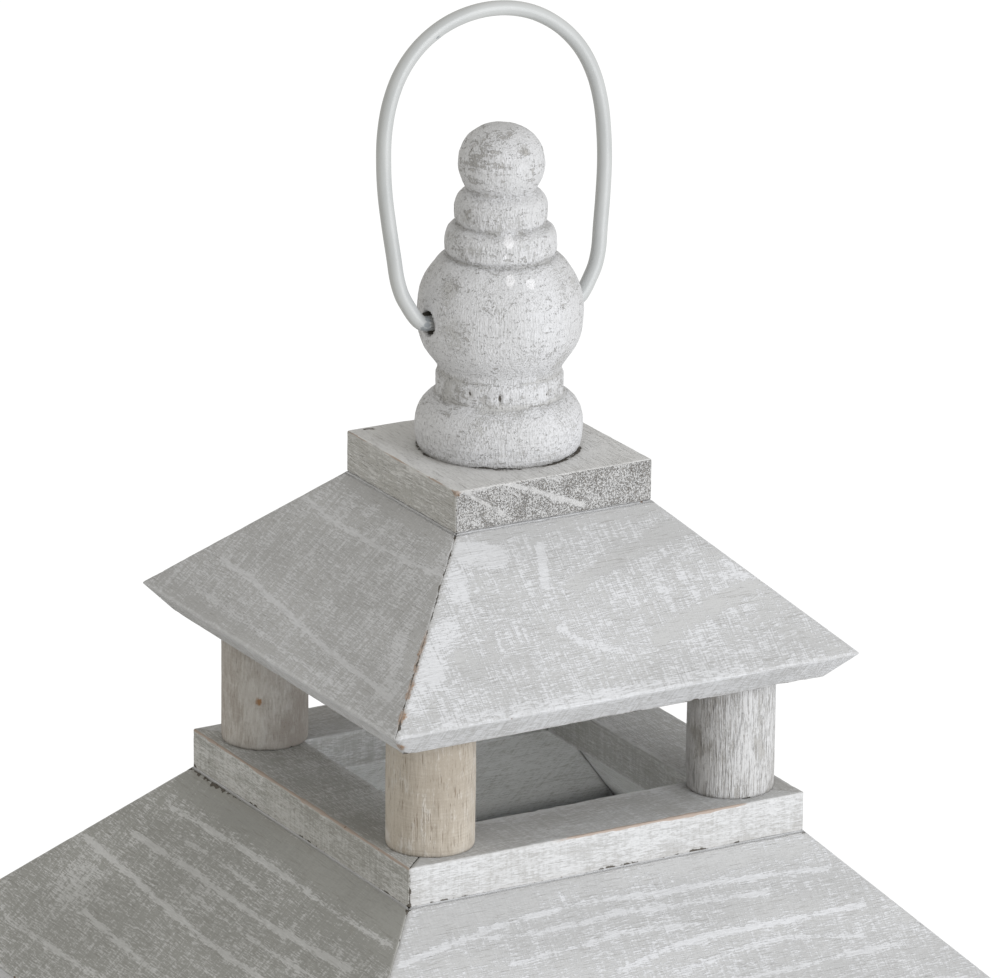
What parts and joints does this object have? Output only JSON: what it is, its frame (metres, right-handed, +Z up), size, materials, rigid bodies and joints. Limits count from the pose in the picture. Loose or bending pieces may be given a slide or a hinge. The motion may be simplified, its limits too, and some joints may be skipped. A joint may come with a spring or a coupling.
{
  "type": "hurricane candle lantern",
  "caption": "Square glazed wooden candle lantern with a hinged door, hipped roof, open cupola on dowel posts, turned finial and swinging wire bail.",
  "frame": {"origin": "centre of the underside of the base board", "axes": "+Z up along the finial; the door faces -Y; the bail swings about an axis along X"},
  "size_m": [0.25, 0.25, 0.6124],
  "materials": {
    "roof_wood": "brushed whitewash over rough-sawn boards, grey where it is thin",
    "trim_wood": "whitewash, raw brown wood along the worn arrises",
    "cap_wood": "whitewash, coarse open end grain on the front and back faces",
    "finial_wood": "thin pale wash over turned wood",
    "dowel_wood": "nearly raw dowel, thinly washed",
    "frame_wood": "smooth white paint with a little grain",
    "bail_paint": "smooth gloss off-white paint",
    "steel_hardware": "dull zinc-plated steel",
    "glass": "clear flat glass"
  },
  "bodies": {
    "lantern_body": {"base_board": "frame_wood", "bottom_rail_back": "frame_wood", "bottom_rail_left": "frame_wood", "bottom_rail_right": "frame_wood", "cap_block": "cap_wood", "collar_strip_back": "trim_wood", "collar_strip_front": "trim_wood", "collar_strip_left": "trim_wood", "collar_strip_right": "trim_wood", "corner_post_back_left": "frame_wood", "corner_post_back_right": "frame_wood", "corner_post_front_left": "frame_wood", "corner_post_front_right": "frame_wood", "cupola_post_back_left": "dowel_wood", "cupola_post_back_right": "dowel_wood", "cupola_post_front_left": "dowel_wood", "cupola_post_front_right": "dowel_wood", "eave_strip_back": "trim_wood", "eave_strip_front": "trim_wood", "eave_strip_left": "trim_wood", "eave_strip_right": "trim_wood", "finial": "finial_wood", "finial_screw": "steel_hardware", "glass_pane_back": "glass", "glass_pane_left": "glass", "glass_pane_right": "glass", "hinge_lower_frame_leaf": "steel_hardware", "hinge_lower_frame_screw_high": "steel_hardware", "hinge_lower_frame_screw_low": "steel_hardware", "hinge_lower_pin": "steel_hardware", "hinge_upper_frame_leaf": "steel_hardware", "hinge_upper_frame_screw_high": "steel_hardware", "hinge_upper_frame_screw_low": "steel_hardware", "hinge_upper_pin": "steel_hardware", "latch_catch_screw": "steel_hardware", "lower_roof_board_back": "roof_wood", "lower_roof_board_front": "roof_wood", "lower_roof_board_left": "roof_wood", "lower_roof_board_right": "roof_wood", "top_rail_back": "frame_wood", "top_rail_left": "frame_wood", "top_rail_right": "frame_wood", "upper_roof_board_back": "roof_wood", "upper_roof_board_front": "roof_wood", "upper_roof_board_left": "roof_wood", "upper_roof_board_right": "roof_wood"},
    "bail": {"bail_handle": "bail_paint"},
    "door": {"door_glass": "glass", "door_rail_bottom": "frame_wood", "door_rail_top": "frame_wood", "door_stile_hinge_side": "frame_wood", "door_stile_latch_side": "frame_wood", "hinge_lower_door_leaf": "steel_hardware", "hinge_lower_door_screw_high": "steel_hardware", "hinge_lower_door_screw_low": "steel_hardware", "hinge_upper_door_leaf": "steel_hardware", "hinge_upper_door_screw_high": "steel_hardware", "hinge_upper_door_screw_low": "steel_hardware", "latch_pivot_screw": "steel_hardware"},
    "latch": {"latch_hook": "steel_hardware"}
  },
  "joints": [
    {"name": "bail_swing", "type": "hinge", "parent": "lantern_body", "child": "bail", "pos_m": [0, 0, 0.5255], "axis": [1, 0, 0], "range_deg": [-130, 140]},
    {"name": "door_swing", "type": "hinge", "parent": "lantern_body", "child": "door", "pos_m": [0.0795, -0.1027, 0.165], "axis": [0, 0, 1], "range_deg": [0, 165]},
    {"name": "latch_turn", "type": "hinge", "parent": "door", "child": "latch", "pos_m": [-0.07, -0.1017, 0.166], "axis": [0, 1, 0], "range_deg": [-270, 65]}
  ]
}
